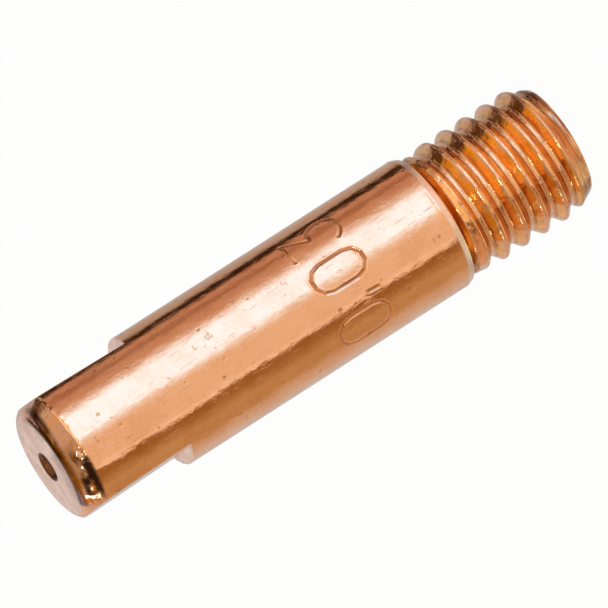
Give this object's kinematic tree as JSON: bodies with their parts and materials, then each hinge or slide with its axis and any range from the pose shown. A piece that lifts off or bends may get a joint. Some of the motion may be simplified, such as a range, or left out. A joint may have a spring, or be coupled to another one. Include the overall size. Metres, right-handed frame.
{
  "type": "welding contact tip",
  "caption": "Turned copper contact tip for a wire-fed welding torch, with an M6 threaded end, a through wire bore, spanner flats and a chamfered nose.",
  "frame": {"origin": "middle of the threaded end face, on which the tip stands", "axes": "+Z along the wire bore towards the nose; the spanner flats face +X and -X"},
  "size_m": [0.006, 0.006, 0.0254],
  "materials": {
    "copper": "polished"
  },
  "bodies": {
    "root": {"contact_tip": "copper"}
  },
  "joints": []
}
